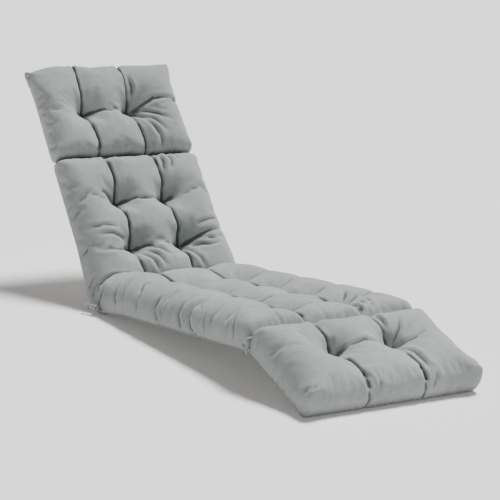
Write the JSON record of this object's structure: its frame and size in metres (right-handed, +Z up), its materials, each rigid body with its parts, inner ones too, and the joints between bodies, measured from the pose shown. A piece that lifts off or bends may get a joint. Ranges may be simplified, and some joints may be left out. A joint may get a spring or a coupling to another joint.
{
  "type": "sun lounger cushion",
  "caption": "Long tufted sun lounger cushion with a drooping foot section, seat, leaning back and head section, parted by sewn hinges, with cloth ties at its sides",
  "frame": {"origin": "centre of the cushion's bounding box in plan, on the plane that its underside rests on; the ties are left out", "axes": "+X across the cushion, +Y towards the leaning back and head end, -Y towards the foot end, +Z up"},
  "size_m": [0.5946, 1.564, 0.6466],
  "materials": {
    "cushion_cloth": "matt woven polyester, grey with a slight green cast",
    "tie_cloth": "matt woven polyester, the same cloth as the cushion"
  },
  "bodies": {
    "root": {"cushion": "cushion_cloth", "knee_tie_left_first": "tie_cloth", "knee_tie_left_second": "tie_cloth", "knee_tie_right_first": "tie_cloth", "knee_tie_right_second": "tie_cloth", "fold_tie_left_first": "tie_cloth", "fold_tie_left_second": "tie_cloth", "fold_tie_right_first": "tie_cloth", "fold_tie_right_second": "tie_cloth"}
  },
  "joints": []
}
